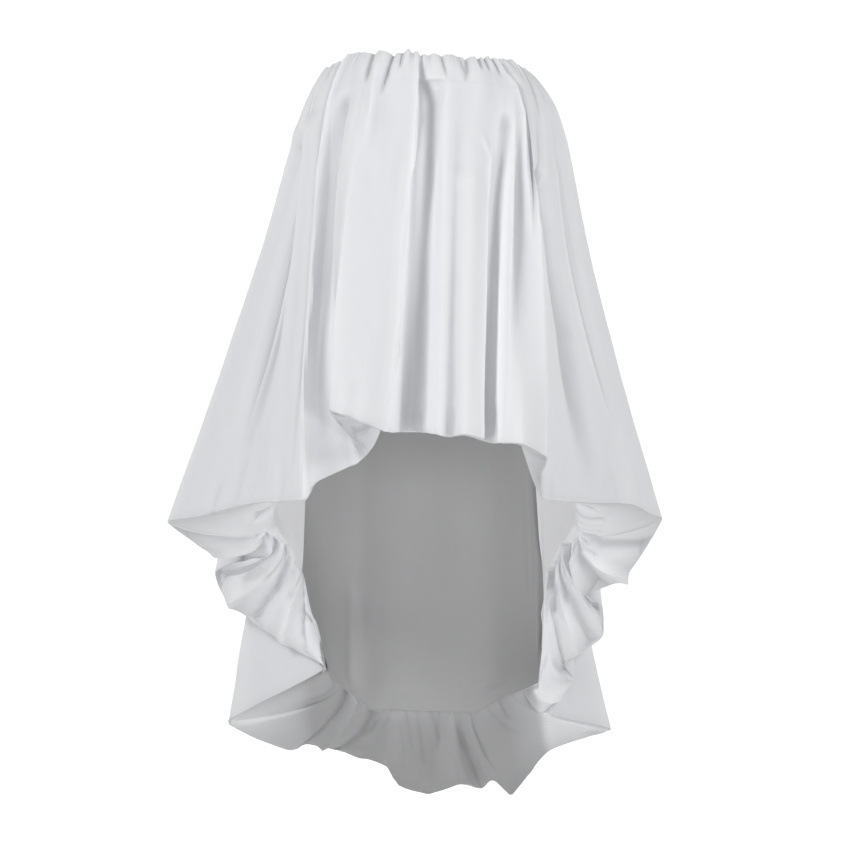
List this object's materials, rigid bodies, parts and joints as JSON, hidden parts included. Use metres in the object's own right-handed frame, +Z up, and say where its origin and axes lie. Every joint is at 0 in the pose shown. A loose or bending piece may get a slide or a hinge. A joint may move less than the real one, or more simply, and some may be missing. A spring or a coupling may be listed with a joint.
{
  "type": "strapless top with a bubble hem, in its worn shape with no wearer and no stand",
  "caption": "Hollow strapless top: gathered elastic neckline, flared pleated shell, short front and long back, turned-under bubble hem on an inner slip.",
  "frame": {"origin": "middle of the elastic neckline, level with the band that holds the top up", "axes": "+Z up, the front of the garment faces -Y, +X is the viewer's right"},
  "size_m": [0.6855, 0.567, 1.0542],
  "materials": {
    "shell": "crisp white poplin with a faint sheen",
    "lining_front": "matt white lining cloth",
    "lining_back": "matt grey lining cloth",
    "casing": "white poplin over elastic"
  },
  "bodies": {
    "root": {"shell_front": "shell", "shell_back": "shell", "lining_front": "lining_front", "lining_back": "lining_back", "neck_casing": "casing"}
  },
  "joints": []
}
